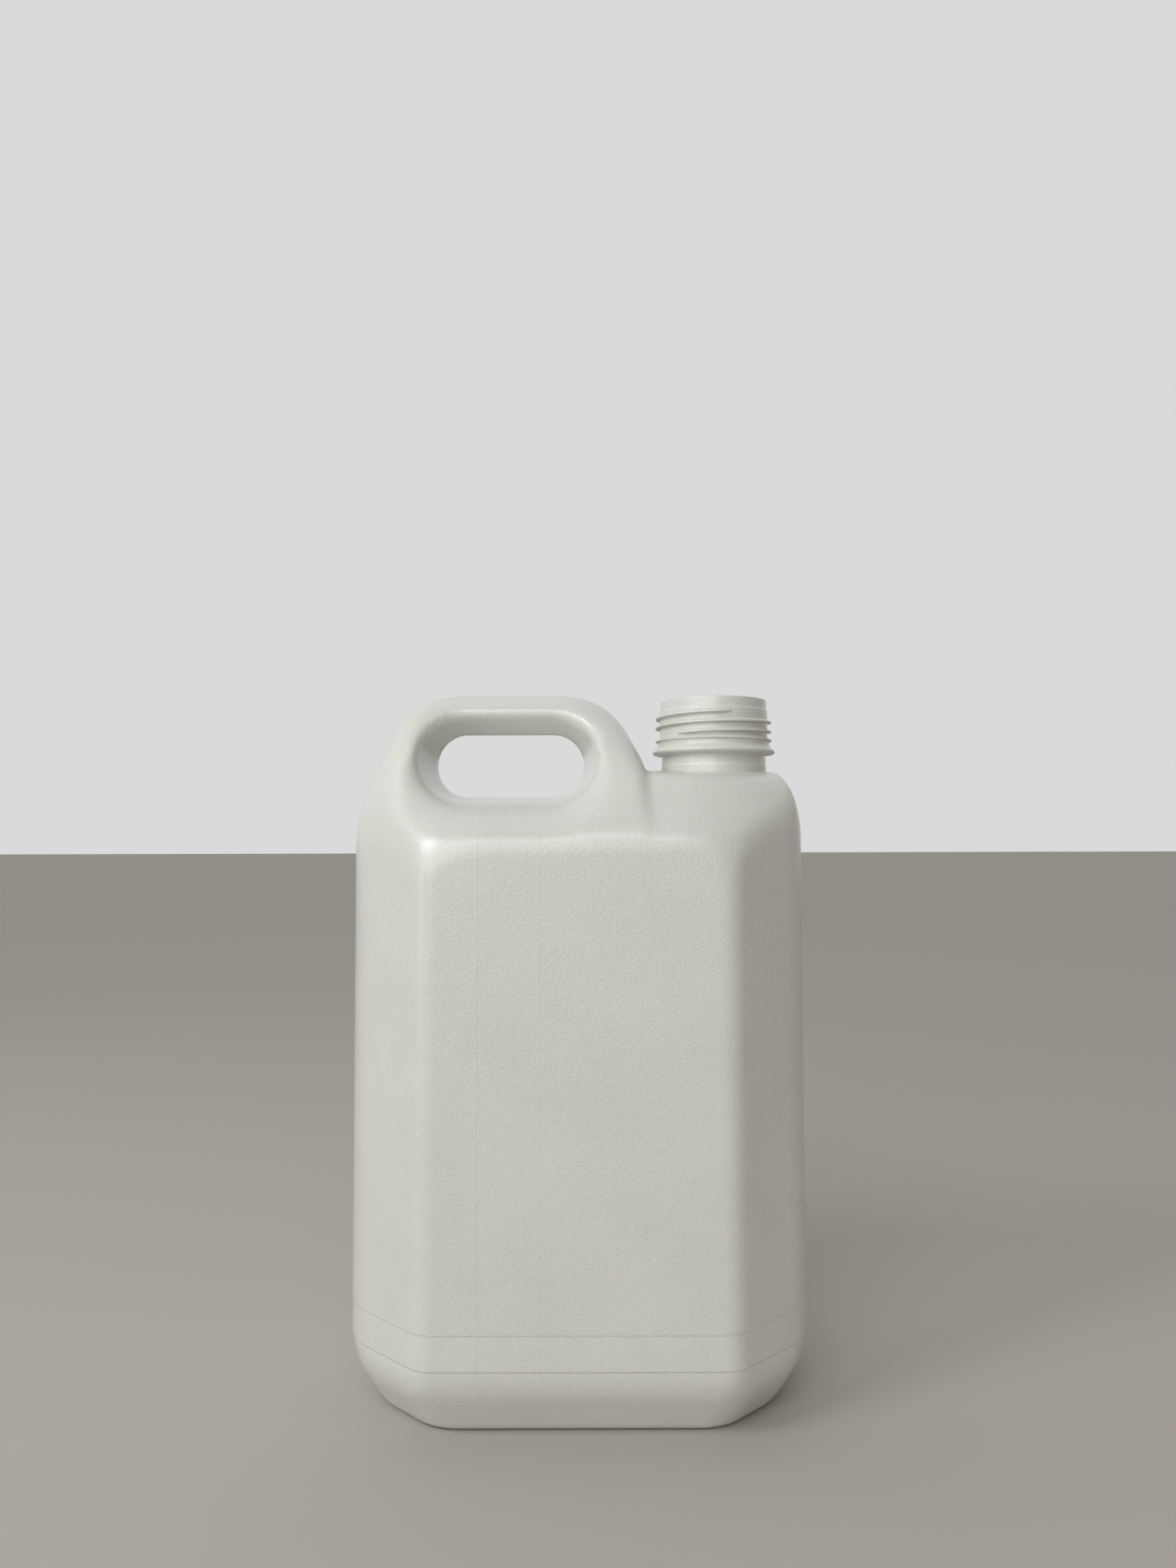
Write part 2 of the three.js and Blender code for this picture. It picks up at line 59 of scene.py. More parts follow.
SHOULDER_Z = 204.5
SHOULDER_SLOPE = 1.0
PLATFORM_Z = 229.3
PLATFORM_BLEND = 6.5
CORNER_POINT = (82.8, 215.0)
CORNER_SLOPE = 0.5
CORNER_BLEND = 2.0
HIP_TURN = math.radians(31)
HIP_SLOPE = 1.458
HIP_REACH = 309.6
HIP_BLEND = 8.0
SHOULDER_EDGE_BLEND = 4.0
PANEL_CORNER_SIDE = Vector((0.33, 0.9, 0.28)).normalized()
PANEL_CORNER_DEPTH = 2.2
PANEL_CORNER_BLEND = 3.0

HANDLE_SLOPE = 1.24
HANDLE_TOP_Z = 260.9
HANDLE_TOP_BLEND = 12.0
LEAN_Z = 212.2
LEAN = 0.425
LEAN_BLEND = 6.7
CORNER_LEAN_Z = 210.6
CORNER_LEAN = 0.405
CORNER_LEAN_BLEND = 17.0
TOP_CORNER = (-70.6, 252.3)
TOP_CORNER_ANGLE = math.radians(48.4)
TOP_CORNER_BLEND = 6.9
LEG_POINT = (16.6, 249.2)
LEG_SLOPE = 0.459
LEG_BLEND = 18.1
LEG_FOOT_POINT = (25.0, 229.0)
LEG_FOOT_SLOPE = 0.1
LEG_FOOT_BLEND = 2.0
LEG_EDGE_BLEND = 6.0
LEG_EDGE_LOW = 225.0
LEG_EDGE_HIGH = 245.0
LEG_JOIN_BLEND = 1.6

HOLE_LEFT = -54.8
HOLE_RIGHT = 2.0
HOLE_BOTTOM = 220.3
HOLE_TOP = 244.6
FLARE_LEFT = 0.27
FLARE_RIGHT = 0.24
FLARE_BOTTOM = 0.12
FLARE_TOP = 0.6
HOLE_WAIST = 4.0
HOLE_ROUNDNESS = 0.97
LIP_BLEND = 3.0
LIP_HEIGHTS = (214.0, 236.0, 238.0, 248.0)
SILL_BLEND = 13.0
BAR_BLEND = 6.0

NECK_X = 52.6
NECK_ROOT_Z = 226.0
NECK_ROOT_RADIUS = 20.3
NECK_STEP_Z = (232.0, 232.4)
NECK_LOW_RADIUS = 20.1
BEAD_RADIUS = 23.75
BEAD_Z = (236.1, 236.7, 237.4, 238.0, 239.7)
BEAD_ROUND = (0.5, 0.3)
GROOVE_RADIUS = 21.7
RING_RADIUS = 22.7
RING_Z = (241.2, 241.9, 243.1)
NECK_RADIUS = 20.9
RIM_Z = 257.7
RIM_STEP_Z = (253.4, 253.9)
RIM_RADIUS = 20.5
RIM_ROUND = 0.4
BORE_RADIUS = 18.75
BORE_BOTTOM_Z = 221.0
BORE_FLARE = 0.5
BORE_ABOVE_RIM = 2.0
NECK_ROUND = 0.35
BORE_ROUND = 0.25

THREAD_RADIUS = 22.5
THREAD_ROOT_RADIUS = 20.3
THREAD_PITCH = 3.6
THREAD_TOP_Z = 251.8
THREAD_START = math.radians(-76)
THREAD_TURNS = 2.17
THREAD_RUN_OUT = math.radians(16)
THREAD_ABOVE_CREST = 1.5
THREAD_BELOW_CREST = 0.55
THREAD_LAND = 0.25
THREAD_LEAST = 0.1
THREAD_ROUND = 0.3

# Fine lines left by the mould's base insert
MOULD_LINES_Z = (24.8, 36.8)
MOULD_LINE_DEPTHS = (0.32, 0.2)
MOULD_LINE_WIDTH = 0.35
MOULD_LINE_FADE = 5.0
MOULD_LINE_REACH = 1.6

# Fineness of the visible surfaces, in millimetres
OUTER_CELL = 1.6
INNER_CELL = 3.4
LINE_CELL = 0.25
STRAIGHT_CELL = 7.0
STRAIGHT_Z = (43.0, 182.0)
MARGIN = 7.0
NECK_SIDES = 288
THREAD_STEPS = 600
SLOPE_STEP = 0.02
SHARP_ANGLE = math.radians(38)

# Faces narrower than this, in metres, are merged into their neighbours
SLIVER_WIDTH = 5e-6

# Gloss and depth of the plastic
ROUGHNESS = 0.3
GLOSS = 0.7
REFRACTION = 1.5
COAT = 0.8
COAT_ROUGHNESS = 0.25
LIGHT_INSIDE = 0.4
LIGHT_INSIDE_REACH = (0.007, 0.0062, 0.005)

# Colours and marks of the plastic
CLOUD_SCALE = 22.0
CLOUD_STOPS = (0.3, 0.7)
CLOUD_DARK = (0.69, 0.7, 0.665, 1)
CLOUD_LIGHT = (0.73, 0.74, 0.705, 1)
SPECK_COLOUR = (0.34, 0.31, 0.26, 1)
DIE_LINES = ((-34.9, 0.55), (-13.5, 0.3))
DIE_LINE_WIDTH = 0.22
DIE_LINE_BUMP = (0.6, 0.0002)
SPECK_SCALE = 36.0
SPECK_EDGE = (0.008, 0.02)
SPECK_FEW = (0.7, 0.72)

# Layers of fine relief: scale, stretch along each axis, strength and height in metres
RELIEF = (
    (1500.0, (1, 1, 1), 0.65, 0.00032),
    (160.0, (1, 1, 1), 0.3, 0.00026),
    (260.0, (1, 1, 0.012), 0.25, 0.00012),
)

# Camera
CAMERA_AT = (0.0036, -0.4543, 0.2017)
CAMERA_PITCH = math.radians(3.0)
CAMERA_ROLL = math.radians(0.15)
CAMERA_LENS = 26.786

# Light of the room and the floor
ROOM_BEHIND = (0.7, 0.7, 0.7, 1)
ROOM_FRONT = (0.22, 0.206, 0.18, 1)
FRONT_SIDE = (0.22, -0.92, -0.32)
ROOM_SHARE = (-0.75, 0.0)
FLOOR_COLOUR = (0.48, 0.455, 0.415)
FLOOR_ROUGHNESS = 0.8
FLOOR_REACH = 30.0

# Lamps, all aimed at the middle of the can: place, width and height, and power
LAMP_AIM = (0, 0, 0.15)
LAMPS = {
    "window": ((-0.88, -0.66, 1.02), (0.5, 0.5), 5.3),
    "side": ((-1.05, -0.85, 0.25), (0.18, 0.9), 1.4),
    "top": ((-0.1, -1.0, 1.15), (0.9, 0.4), 2.6),
}
SUN_STRENGTH = 0.88
SUN_ANGLE = math.radians(42)
SUN_COLOUR = (1.0, 1.0, 0.985)
SUN_DIRECTION = (0.3, 0.9, -0.32)


def round_max(a, b, k):
    """The larger of two distances, with the edge between them rounded over a width of about k."""
    h = np.maximum(k - np.abs(a - b), 0) / k
    return np.maximum(a, b) + h * h * k * 0.25


def round_min(a, b, k):
    return -round_max(-a, -b, k)


def between(z, from_z, to_z, low, high):
    """A value that changes evenly from low to high while z passes from one height to another."""
    return low + (high - low) * np.clip((z - from_z) / (to_z - from_z), 0, 1)


def beyond_line(u, z, u0, z0, u1, z1):
    """Distance of (u, z) from the line through two points, positive on the side of larger u."""
    du, dz = u1 - u0, z1 - z0
    return ((u - u0) * dz - (z - z0) * du) / math.hypot(du, dz)


def above_roof(y, z, slope):
    return (z - SHOULDER_Z - (HALF_DEPTH - np.abs(y)) * slope) / math.hypot(1, slope)


def body_distance(x, y, z):
    """The straight body with its four facets, its base chamfers and its flat base."""
    ax, ay = np.abs(x), np.abs(y)
    reach = (HALF_WIDTH + HALF_DEPTH - FACET_LEG) / math.sqrt(2)
    across = (ax + ay) / math.sqrt(2)
    wall = round_max(ay - HALF_DEPTH, across - reach, FRONT_EDGE_BLEND)
    wall = round_max(wall, ax - HALF_WIDTH, SIDE_EDGE_BLEND)
    front = beyond_line(ay, z, HALF_DEPTH - FRONT_INSET, 0, HALF_DEPTH, FRONT_RISE)
    side = beyond_line(ax, z, HALF_WIDTH - SIDE_INSET, 0, HALF_WIDTH, SIDE_RISE)
    corner = beyond_line(across, z, reach - CORNER_INSET, 0, reach, CORNER_RISE)
    chamfer = round_max(front, corner, FOOT_EDGE_BLEND)
    chamfer = round_max(chamfer, side, SIDE_EDGE_BLEND)
    return round_max(round_max(wall, chamfer, CHAMFER_BLEND), -z, BASE_BLEND)


def shoulder_distance(x, y, z):
    """The shoulder under the neck: a roof, a flat platform, leaning hips and the cut outer corner."""
    roof = round_max(above_roof(y, z, SHOULDER_SLOPE), z - PLATFORM_Z, PLATFORM_BLEND)
    outward = np.abs(y) * math.cos(HIP_TURN) + x * math.sin(HIP_TURN)
    hip = (outward * HIP_SLOPE + z - HIP_REACH) / math.hypot(1, HIP_SLOPE)
    lean = x - CORNER_POINT[0] + (z - CORNER_POINT[1]) * CORNER_SLOPE
    corner = np.maximum(lean / math.hypot(1, CORNER_SLOPE), -x)
    return round_max(round_max(roof, hip, HIP_BLEND), corner, CORNER_BLEND)


def handle_distance(x, y, z):
    """The block that the handle is cut from."""
    roof = above_roof(y, z, HANDLE_SLOPE)
    side = (-x - HALF_WIDTH + (z - LEAN_Z) * LEAN) / math.hypot(1, LEAN)
    reach = HALF_WIDTH + HALF_DEPTH - FACET_LEG
    facet = np.abs(y) - x - reach + (z - CORNER_LEAN_Z) * CORNER_LEAN
    facet = facet / math.sqrt(2 + CORNER_LEAN**2)
    corner = (z - TOP_CORNER[1]) * math.sin(TOP_CORNER_ANGLE)
    corner = corner - (x - TOP_CORNER[0]) * math.cos(TOP_CORNER_ANGLE)
    slant = x - LEG_POINT[0] + (z - LEG_POINT[1]) * LEG_SLOPE
    foot = x - LEG_FOOT_POINT[0] + (z - LEG_FOOT_POINT[1]) * LEG_FOOT_SLOPE
    foot = foot / math.hypot(1, LEG_FOOT_SLOPE)
    leg = round_max(slant / math.hypot(1, LEG_SLOPE), foot, LEG_FOOT_BLEND)
    top = round_max(z - HANDLE_TOP_Z, leg, LEG_BLEND)
    edge = between(z, LEG_EDGE_LOW, LEG_EDGE_HIGH, LEG_EDGE_BLEND, HANDLE_TOP_BLEND)
    left = round_max(round_max(roof, facet, CORNER_LEAN_BLEND), side, LEAN_BLEND)
    return round_max(round_max(left, corner, TOP_CORNER_BLEND), top, edge)


def hole_distance(x, y, z):
    """The finger hole: an outline with round ends that is narrowest halfway through."""
    off = np.hypot(y, HOLE_WAIST) - HOLE_WAIST
    left = HOLE_LEFT - FLARE_LEFT * off
    right = HOLE_RIGHT + FLARE_RIGHT * off
    bottom = HOLE_BOTTOM - FLARE_BOTTOM * off
    top = HOLE_TOP + FLARE_TOP * off
    half_wide, half_high = (right - left) / 2, (top - bottom) / 2
    radius = np.minimum(half_wide, half_high) * HOLE_ROUNDNESS
    dx = np.abs(x - (left + right) / 2) - half_wide + radius
    dz = np.abs(z - (bottom + top) / 2) - half_high + radius
    outside = np.hypot(np.maximum(dx, 0), np.maximum(dz, 0))
    slant = math.hypot(1, (FLARE_LEFT + FLARE_TOP) / 2)
    return (outside + np.minimum(np.maximum(dx, dz), 0) - radius) / slant


def panel_corner_distance(x, y, z):
    """A shallow cut across the point where a panel, a facet and the roof meet."""
    a, b, c = PANEL_CORNER_SIDE
    across = (np.abs(x) - HALF_WIDTH + FACET_LEG) * a
    return across + (np.abs(y) - HALF_DEPTH) * b + (z - SHOULDER_Z) * c + PANEL_CORNER_DEPTH


def moulding_distance(x, y, z):
    """The whole moulding without its neck: negative inside, zero on the outer surface."""
    upper = round_min(handle_distance(x, y, z), shoulder_distance(x, y, z), LEG_JOIN_BLEND)
    sharp = round_max(body_distance(x, y, z), upper, SHOULDER_EDGE_BLEND)
    closed = round_max(sharp, panel_corner_distance(x, y, z), PANEL_CORNER_BLEND)
    sill = between(z, LIP_HEIGHTS[0], LIP_HEIGHTS[1], SILL_BLEND, LIP_BLEND)
    lip = between(z, LIP_HEIGHTS[2], LIP_HEIGHTS[3], sill, BAR_BLEND)
    return round_max(closed, -hole_distance(x, y, z), lip)


def outer_distance(x, y, z):
    """The moulding with the fine steps that the mould's base insert leaves, each fading downwards."""
    distance = moulding_distance(x, y, z)
    for line, depth in zip(MOULD_LINES_Z, MOULD_LINE_DEPTHS):
        below = line - z
        step = np.clip(below / MOULD_LINE_WIDTH + 0.5, 0, 1)
        distance = distance + depth * step * np.exp(-np.maximum(below, 0) / MOULD_LINE_FADE)
    return distance


def inner_distance(x, y, z):
    return moulding_distance(x, y, z) + WALL


def axis_steps(start, stop, cell, fine=(), fine_cell=1.0):
    """Grid positions from start to stop, closer together inside the fine stretches."""
    steps = [start]
    while steps[-1] < stop:
        here = steps[-1]
        close = any(a - cell < here < b for a, b in fine)
        steps.append(here + (fine_cell if close else cell))
    return np.array(steps)


def height_steps(cell, fine=()):
    """Grid heights, far apart along the straight walls, where that loses no shape."""
    low = axis_steps(-MARGIN, STRAIGHT_Z[0], cell, fine, LINE_CELL)
    middle = axis_steps(low[-1], STRAIGHT_Z[1], STRAIGHT_CELL)
    high = axis_steps(middle[-1], HANDLE_TOP_Z + MARGIN, cell)
    return np.concatenate((low[:-1], middle[:-1], high))


def settle(field, points):
    """Moves points straight onto the surface of the field."""
    e = SLOPE_STEP
    for _ in range(3):
        x, y, z = points.T
        g = np.stack(
            [
                field(x + e, y, z) - field(x - e, y, z),
                field(x, y + e, z) - field(x, y - e, z),
                field(x, y, z + e) - field(x, y, z - e),
            ],
            -1,
        ) / (2 * e)
        size = np.maximum((g * g).sum(1), 0.1)
        points = points - g * (field(x, y, z) / size)[:, None]
    return points


def surface_of(field, xs, ys, zs):
    """Closed surface where the field is zero, one vertex in each cell that the surface passes."""
    values = field(xs[:, None, None], ys[None, :, None], zs[None, None, :])
    inside = values < 0
    shape = tuple(n - 1 for n in values.shape)
    total = np.zeros(shape + (3,))
    crossings = np.zeros(shape)
    grids = np.meshgrid(xs, ys, zs, indexing="ij", sparse=True)
    for axis in range(3):
        near = [slice(None)] * 3
        far = [slice(None)] * 3
        near[axis], far[axis] = slice(0, -1), slice(1, None)
        near, far = tuple(near), tuple(far)
        crossed = inside[near] != inside[far]
        where = np.nonzero(crossed)
        a, b = values[near][where], values[far][where]
        t = a / (a - b)
        at = [grids[n].reshape(-1)[where[n]] for n in range(3)]
        ahead = grids[axis].reshape(-1)[where[axis] + 1]
        at[axis] = at[axis] + t * (ahead - at[axis])
        point = np.stack(at, -1)
        others = [n for n in range(3) if n != axis]
        for da in (0, 1):
            for db in (0, 1):
                cell = list(where)
                cell[others[0]] = where[others[0]] - da
                cell[others[1]] = where[others[1]] - db
                cell = tuple(cell)
                np.add.at(total, cell, point)
                np.add.at(crossings, cell, 1)
    used = crossings > 0
    number = np.full(shape, -1)
    number[used] = np.arange(used.sum())
    points = settle(field, total[used] / crossings[used][:, None])
    faces = []
    for axis in range(3):
        near = [slice(1, -1)] * 3
        far = [slice(1, -1)] * 3
        near[axis], far[axis] = slice(0, -1), slice(1, None)
        a_in, b_in = inside[tuple(near)], inside[tuple(far)]
        for flip in (False, True):
            found = np.nonzero((a_in & ~b_in) if not flip else (~a_in & b_in))
            base = [n + (0 if k == axis else 1) for k, n in enumerate(found)]
            u, v = (axis + 1) % 3, (axis + 2) % 3
            corners = []
            for du, dv in ((1, 1), (0, 1), (0, 0), (1, 0)):
                cell = list(base)
                cell[u] = base[u] - du
                cell[v] = base[v] - dv
                corners.append(number[tuple(cell)])
            quad = np.stack(corners, -1)
            faces.append(quad[:, ::-1] if flip else quad)
    return points, np.concatenate(faces)


def mesh_object(name, points, faces):
    mesh = bpy.data.meshes.new(name)
    mesh.from_pydata((np.asarray(points) / 1000).tolist(), [], np.asarray(faces).tolist())
    mesh.update()
    thing = bpy.data.objects.new(name, mesh)
    bpy.context.scene.collection.objects.link(thing)
    return thing


def round_points(profile, sides):
    """Points of a solid of revolution about the neck's axis, ring by ring."""
    angles = np.arange(sides) * 2 * math.pi / sides
    rings = [
        np.stack([NECK_X + r * np.cos(angles), r * np.sin(angles), np.full(sides, z)], -1)
        for r, z in profile
    ]
    return np.concatenate(rings)


def round_object(name, profile):
    """Closed solid of revolution about the neck's axis, its flat ends at the profile's ends."""
    sides = NECK_SIDES
    points = round_points(profile, sides)
    faces = []
    for ring in range(len(profile) - 1):
        for side in range(sides):
            after = (side + 1) % sides
            a, b = ring * sides + side, ring * sides + after
            faces.append((a, b, b + sides, a + sides))
    last = (len(profile) - 1) * sides
    faces.append(tuple(range(sides))[::-1])
    faces.append(tuple(range(last, last + sides)))
    return mesh_object(name, points, faces_of(faces))


def faces_of(faces):
    """Faces as plain lists, whatever their number of corners."""
    holder = np.empty(len(faces), dtype=object)
    for n, face in enumerate(faces):
        holder[n] = list(face)
    return holder


def rounded(profile, radius, arc=5):
    """The profile with its inner corners rounded."""
    out = [profile[0]]
    for before, here, after in zip(profile, profile[1:], profile[2:]):
        p, q, r = Vector(before), Vector(here), Vector(after)
        cut = min(radius, (q - p).length * 0.45, (r - q).length * 0.45)
        start, stop = q + (p - q).normalized() * cut, q + (r - q).normalized() * cut
        for n in range(arc + 1):
            t = n / arc
            out.append(tuple(start * (1 - t) ** 2 + q * 2 * t * (1 - t) + stop * t**2))
    return out + [profile[-1]]


def neck_wall():
    outline = [
        (NECK_ROOT_RADIUS, NECK_ROOT_Z),
        (NECK_ROOT_RADIUS, NECK_STEP_Z[0]),
        (NECK_LOW_RADIUS, NECK_STEP_Z[1]),
        (NECK_LOW_RADIUS, BEAD_Z[0]),
        (BEAD_RADIUS - BEAD_ROUND[0], BEAD_Z[1]),
        (BEAD_RADIUS, BEAD_Z[2]),
        (BEAD_RADIUS - BEAD_ROUND[1], BEAD_Z[3]),
        (GROOVE_RADIUS, BEAD_Z[4]),
        (GROOVE_RADIUS, RING_Z[0]),
        (RING_RADIUS, RING_Z[1]),
        (NECK_RADIUS, RING_Z[2]),
        (NECK_RADIUS, RIM_STEP_Z[0]),
        (RIM_RADIUS, RIM_STEP_Z[1]),
        (RIM_RADIUS, RIM_Z - RIM_ROUND),
        (RIM_RADIUS - RIM_ROUND, RIM_Z),
        (BORE_RADIUS - 1, RIM_Z),
    ]
    return round_object("neck_wall", rounded(outline, NECK_ROUND))


def neck_bore():
    outline = [
        (BORE_RADIUS, BORE_BOTTOM_Z),
        (BORE_RADIUS, RIM_Z - BORE_FLARE),
        (BORE_RADIUS + BORE_FLARE, RIM_Z),
        (BORE_RADIUS + BORE_FLARE, RIM_Z + BORE_ABOVE_RIM),
    ]
    return round_object("neck_bore", rounded(outline, BORE_ROUND))


def thread_section(turned):
    """Corners of the thread's section at one angle. The thread sinks into the wall at both ends."""
    whole = THREAD_TURNS * math.pi * 2
    end = min(turned, whole - turned, THREAD_RUN_OUT) / THREAD_RUN_OUT
    root = THREAD_ROOT_RADIUS
    lowest = root + THREAD_LEAST
    crest = lowest + (THREAD_RADIUS - lowest) * math.sqrt(max(end, 0))
    z = THREAD_TOP_Z - THREAD_PITCH * turned / (math.pi * 2)
    angle = THREAD_START - turned
    outline = [
        (root, z - THREAD_BELOW_CREST),
        (crest, z - THREAD_LAND),
        (crest, z + THREAD_LAND),
        (root, z + THREAD_ABOVE_CREST),
    ]
    section = rounded(outline, THREAD_ROUND, 3)
    return [(NECK_X + r * math.cos(angle), r * math.sin(angle), h) for r, h in section]


def neck_thread():
    sections = [
        thread_section(n / THREAD_STEPS * THREAD_TURNS * math.pi * 2) for n in range(THREAD_STEPS + 1)
    ]
    width = len(sections[0])
    points = [p for section in sections for p in section]
    faces = []
    for step in range(THREAD_STEPS):
        for corner in range(width):
            after = (corner + 1) % width
            a, b = step * width + corner, step * width + after
            faces.append((a, a + width, b + width, b))
    last = THREAD_STEPS * width
    faces.append(tuple(range(width)))
    faces.append(tuple(range(last, last + width))[::-1])
    return mesh_object("neck_thread", points, faces_of(faces))


def combine(target, tool, operation):
    """Joins or cuts one closed mesh with another and removes the tool."""
    step = target.modifiers.new("step", "BOOLEAN")
    step.operation = operation
    step.object = tool
    step.solver = "MANIFOLD"
    depsgraph = bpy.context.evaluated_depsgraph_get()
    made = bpy.data.meshes.new_from_object(target.evaluated_get(depsgraph))
    target.modifiers.remove(step)
    old = target.data
    target.data = made
    bpy.data.meshes.remove(old)
    bpy.data.objects.remove(tool)


def without_slivers(thing):
    """Removes the faces of no width that joining and cutting leave. The mesh stays closed."""
    work = bmesh.new()
    work.from_mesh(thing.data)
    bmesh.ops.remove_doubles(work, verts=work.verts, dist=SLIVER_WIDTH)
    bmesh.ops.dissolve_degenerate(work, dist=SLIVER_WIDTH, edges=work.edges)
    bmesh.ops.triangulate(work, faces=[face for face in work.faces if len(face.verts) > 4])
    work.to_mesh(thing.data)
    work.free()


def build_can():
    lines = [(z - MOULD_LINE_REACH, z + MOULD_LINE_REACH) for z in MOULD_LINES_Z]
    xs = axis_steps(-HALF_WIDTH - MARGIN, HALF_WIDTH + MARGIN, OUTER_CELL)
    ys = axis_steps(-HALF_DEPTH - MARGIN, HALF_DEPTH + MARGIN, OUTER_CELL)
    zs = height_steps(OUTER_CELL, lines)
    can = mesh_object("jerrycan_surface", *surface_of(outer_distance, xs, ys, zs))
    xs = axis_steps(-HALF_WIDTH - MARGIN, HALF_WIDTH + MARGIN, INNER_CELL)
    ys = axis_steps(-HALF_DEPTH - MARGIN, HALF_DEPTH + MARGIN, INNER_CELL)
    zs = height_steps(INNER_CELL)
    cavity = mesh_object("cavity", *surface_of(inner_distance, xs, ys, zs))
    combine(can, neck_wall(), "UNION")
    combine(can, neck_thread(), "UNION")
    combine(can, cavity, "DIFFERENCE")
    combine(can, neck_bore(), "DIFFERENCE")
    without_slivers(can)
    can.data.materials.clear()
    can.data.shade_smooth()
    can.data.set_sharp_from_angle(angle=SHARP_ANGLE)
    return can


def new_node(tree, kind, **values):
    node = tree.nodes.new(kind)
    for name, value in values.items():
        node.inputs[name].default_value = value
    return node


def new_math(tree, operation, a, b):
    """Result of a calculation on two values, each a number or a node's output."""
    node = tree.nodes.new("ShaderNodeMath")
    node.operation = operation
    for slot, value in zip(node.inputs, (a, b)):
        if isinstance(value, (int, float)):
            slot.default_value = value
        else:
            tree.links.new(value, slot)
    return node.outputs[0]


def colour_ramp(tree, source, *stops):
    """A colour ramp with two stops, each a position and a colour."""
    ramp = tree.nodes.new("ShaderNodeValToRGB")
    for element, (position, colour) in zip(ramp.color_ramp.elements, stops):
        element.position = position
        element.color = colour
    tree.links.new(source, ramp.inputs["Fac"])
    return ramp


def speck_share(tree, place):
    """Few small dark specks, at most one in each cell of a scattered pattern."""
    cells = new_node(tree, "ShaderNodeTexVoronoi", Scale=SPECK_SCALE, Randomness=1.0)
    tree.links.new(place, cells.inputs["Vector"])
    black, white = (0, 0, 0, 1), (1, 1, 1, 1)
    near, far = SPECK_EDGE
    dot = colour_ramp(tree, cells.outputs["Distance"], (near, white), (far, black))
    none, all_of_it = SPECK_FEW
    few = colour_ramp(tree, cells.outputs["Color"], (none, black), (all_of_it, white))
    return new_math(tree, "MULTIPLY", dot.outputs["Color"], few.outputs["Color"])


def die_lines(tree, place):
    """Height of the faint upright lines that cross the front panel and the shoulder above it."""
    parts = tree.nodes.new("ShaderNodeSeparateXYZ")
    tree.links.new(place, parts.inputs["Vector"])
    total = None
    for x, height in DIE_LINES:
        off = new_math(tree, "SUBTRACT", parts.outputs["X"], x / 1000)
        ratio = new_math(tree, "DIVIDE", off, DIE_LINE_WIDTH / 1000)
        square = new_math(tree, "MULTIPLY", ratio, ratio)
        ridge = new_math(tree, "DIVIDE", height, new_math(tree, "ADD", square, 1.0))
        total = new_math(tree, "ADD", ridge, total) if total else ridge
    front = new_math(tree, "LESS_THAN", parts.outputs["Y"], 0.0)
    return new_math(tree, "MULTIPLY", total, front)


def surface_bump(tree, place):
    """Fine grain, broader ripples and faint upright lines from the mould."""
    normal = None
    for scale, stretch, strength, distance in RELIEF:
        shape = tree.nodes.new("ShaderNodeMapping")
        shape.inputs["Scale"].default_value = stretch
        tree.links.new(place, shape.inputs["Vector"])
        noise = new_node(tree, "ShaderNodeTexNoise", Scale=scale, Detail=2.5, Roughness=0.55)
        tree.links.new(shape.outputs["Vector"], noise.inputs["Vector"])
        bump = new_node(tree, "ShaderNodeBump", Strength=strength, Distance=distance)
        tree.links.new(noise.outputs["Fac"], bump.inputs["Height"])
        if normal:
            tree.links.new(normal, bump.inputs["Normal"])
        normal = bump.outputs["Normal"]
    strength, distance = DIE_LINE_BUMP
    lines = new_node(tree, "ShaderNodeBump", Strength=strength, Distance=distance)
    tree.links.new(die_lines(tree, place), lines.inputs["Height"])
    tree.links.new(normal, lines.inputs["Normal"])
    return lines.outputs["Normal"]


def plastic_material():
    """Off-white polyethylene: soft sheen, fine moulded grain, faint clouds and a few specks."""
    material = bpy.data.materials.new("plastic")
    material.use_nodes = True
    tree = material.node_tree
    shader = tree.nodes["Principled BSDF"]
    shader.inputs["Roughness"].default_value = ROUGHNESS
    shader.inputs["Specular IOR Level"].default_value = GLOSS
    shader.inputs["Coat Weight"].default_value = COAT
    shader.inputs["Coat Roughness"].default_value = COAT_ROUGHNESS
    shader.inputs["Coat IOR"].default_value = REFRACTION
    shader.inputs["IOR"].default_value = REFRACTION
    shader.inputs["Subsurface Weight"].default_value = LIGHT_INSIDE
    shader.inputs["Subsurface Radius"].default_value = LIGHT_INSIDE_REACH
    place = tree.nodes.new("ShaderNodeTexCoord").outputs["Object"]
    clouds = new_node(tree, "ShaderNodeTexNoise", Scale=CLOUD_SCALE, Detail=4.0, Roughness=0.6)
    tree.links.new(place, clouds.inputs["Vector"])
    dark, light = zip(CLOUD_STOPS, (CLOUD_DARK, CLOUD_LIGHT))
    tint = colour_ramp(tree, clouds.outputs["Fac"], dark, light)
    colour = new_node(tree, "ShaderNodeMixRGB", Color2=SPECK_COLOUR)
    tree.links.new(speck_share(tree, place), colour.inputs["Fac"])
    tree.links.new(tint.outputs["Color"], colour.inputs["Color1"])
    tree.links.new(colour.outputs["Color"], shader.inputs["Base Color"])
    tree.links.new(surface_bump(tree, place), shader.inputs["Normal"])
    return material


def plain_material(name, colour, roughness):
    material = bpy.data.materials.new(name)
    material.use_nodes = True
    shader = material.node_tree.nodes["Principled BSDF"]
    shader.inputs["Base Color"].default_value = (*colour, 1)
    shader.inputs["Roughness"].default_value = roughness
    return material


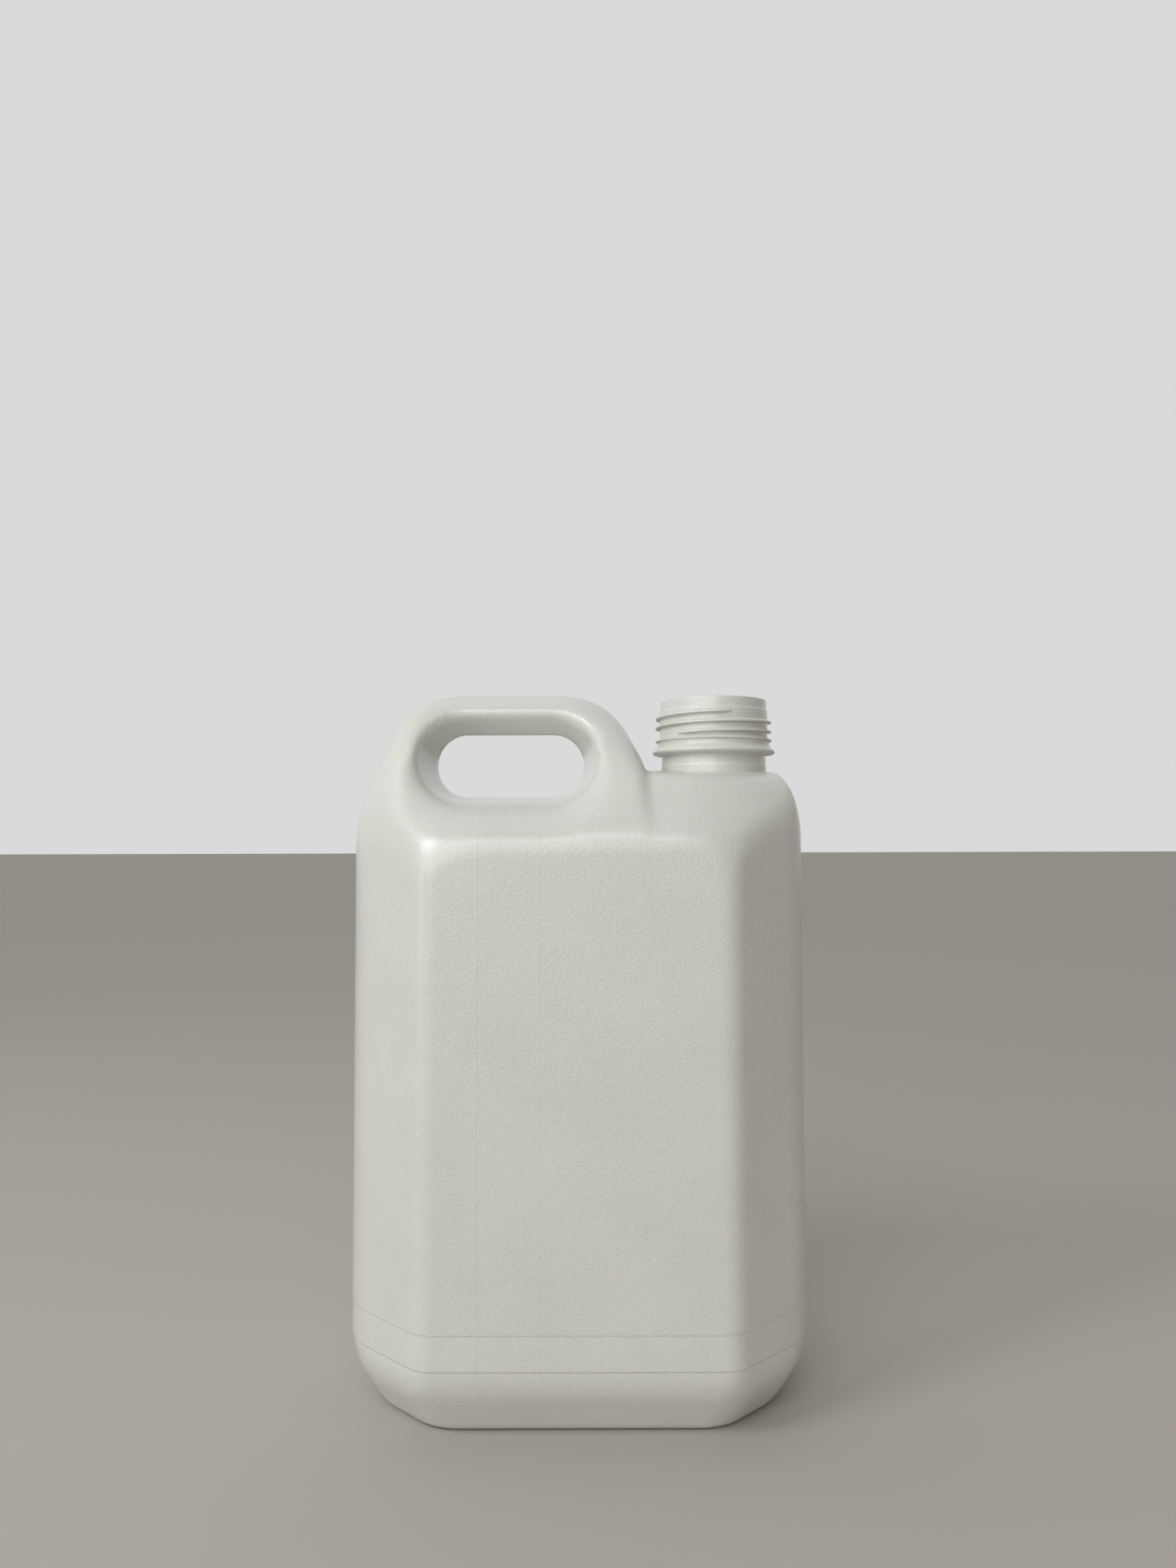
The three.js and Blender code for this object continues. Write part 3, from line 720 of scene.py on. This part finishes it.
def add_floor():
    mesh = bpy.data.meshes.new("floor")
    reach = FLOOR_REACH
    corners = [(-reach, -reach, 0), (reach, -reach, 0), (reach, reach, 0), (-reach, reach, 0)]
    mesh.from_pydata(corners, [], [(0, 1, 2, 3)])
    floor = bpy.data.objects.new("floor", mesh)
    bpy.context.scene.collection.objects.link(floor)
    mesh.materials.append(plain_material("floor", FLOOR_COLOUR, FLOOR_ROUGHNESS))


def add_light(name, at, aim, size, watts):
    """A soft area light of the given width and height."""
    light = bpy.data.lights.new(name, "AREA")
    light.shape = "ELLIPSE"
    light.size, light.size_y = size
    light.energy = watts
    lamp = bpy.data.objects.new(name, light)
    lamp.location = at
    lamp.rotation_euler = (Vector(aim) - Vector(at)).to_track_quat("-Z", "Y").to_euler()
    bpy.context.scene.collection.objects.link(lamp)


def add_world():
    """A pale room, darker towards the front and the right, so that the right side is shaded."""
    world = bpy.data.worlds.new("studio")
    world.use_nodes = True
    tree = world.node_tree
    sky = tree.nodes["Background"]
    place = tree.nodes.new("ShaderNodeTexCoord")
    side = tree.nodes.new("ShaderNodeVectorMath")
    side.operation = "DOT_PRODUCT"
    side.inputs[1].default_value = FRONT_SIDE
    tree.links.new(place.outputs["Generated"], side.inputs[0])
    share = tree.nodes.new("ShaderNodeMapRange")
    share.inputs["From Min"].default_value = ROOM_SHARE[0]
    share.inputs["From Max"].default_value = ROOM_SHARE[1]
    tree.links.new(side.outputs["Value"], share.inputs["Value"])
    ramp = colour_ramp(tree, share.outputs["Result"], (0.0, ROOM_BEHIND), (1.0, ROOM_FRONT))
    ramp.color_ramp.interpolation = "EASE"
    tree.links.new(ramp.outputs["Color"], sky.inputs["Color"])
    bpy.context.scene.world = world


def add_lights():
    sun = bpy.data.lights.new("daylight", "SUN")
    sun.energy = SUN_STRENGTH
    sun.angle = SUN_ANGLE
    sun.color = SUN_COLOUR
    lamp = bpy.data.objects.new("daylight", sun)
    lamp.rotation_euler = Vector(SUN_DIRECTION).to_track_quat("-Z", "Y").to_euler()
    bpy.context.scene.collection.objects.link(lamp)
    for name, (at, size, watts) in LAMPS.items():
        add_light(name, at, LAMP_AIM, size, watts)
    add_world()


def add_camera():
    """The photograph's viewpoint: close in front of the can, level with its shoulder."""
    data = bpy.data.cameras.new("camera")
    data.lens = CAMERA_LENS
    data.sensor_width = 36
    data.clip_start = 0.01
    camera = bpy.data.objects.new("camera", data)
    pitch = CAMERA_PITCH
    right = Vector((1, 0, 0))
    up = Vector((0, -math.sin(pitch), math.cos(pitch)))
    back = right.cross(up)
    turn = Matrix((right, up, back)).transposed() @ Matrix.Rotation(-CAMERA_ROLL, 3, "Z")
    camera.matrix_world = Matrix.Translation(CAMERA_AT) @ turn.to_4x4()
    bpy.context.scene.collection.objects.link(camera)
    bpy.context.scene.camera = camera


can = build_can()
can.data.materials.append(plastic_material())
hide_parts("jerrycan")
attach(can, "root")
add_floor()
add_lights()
add_camera()
bpy.context.scene.view_settings.view_transform = "Standard"
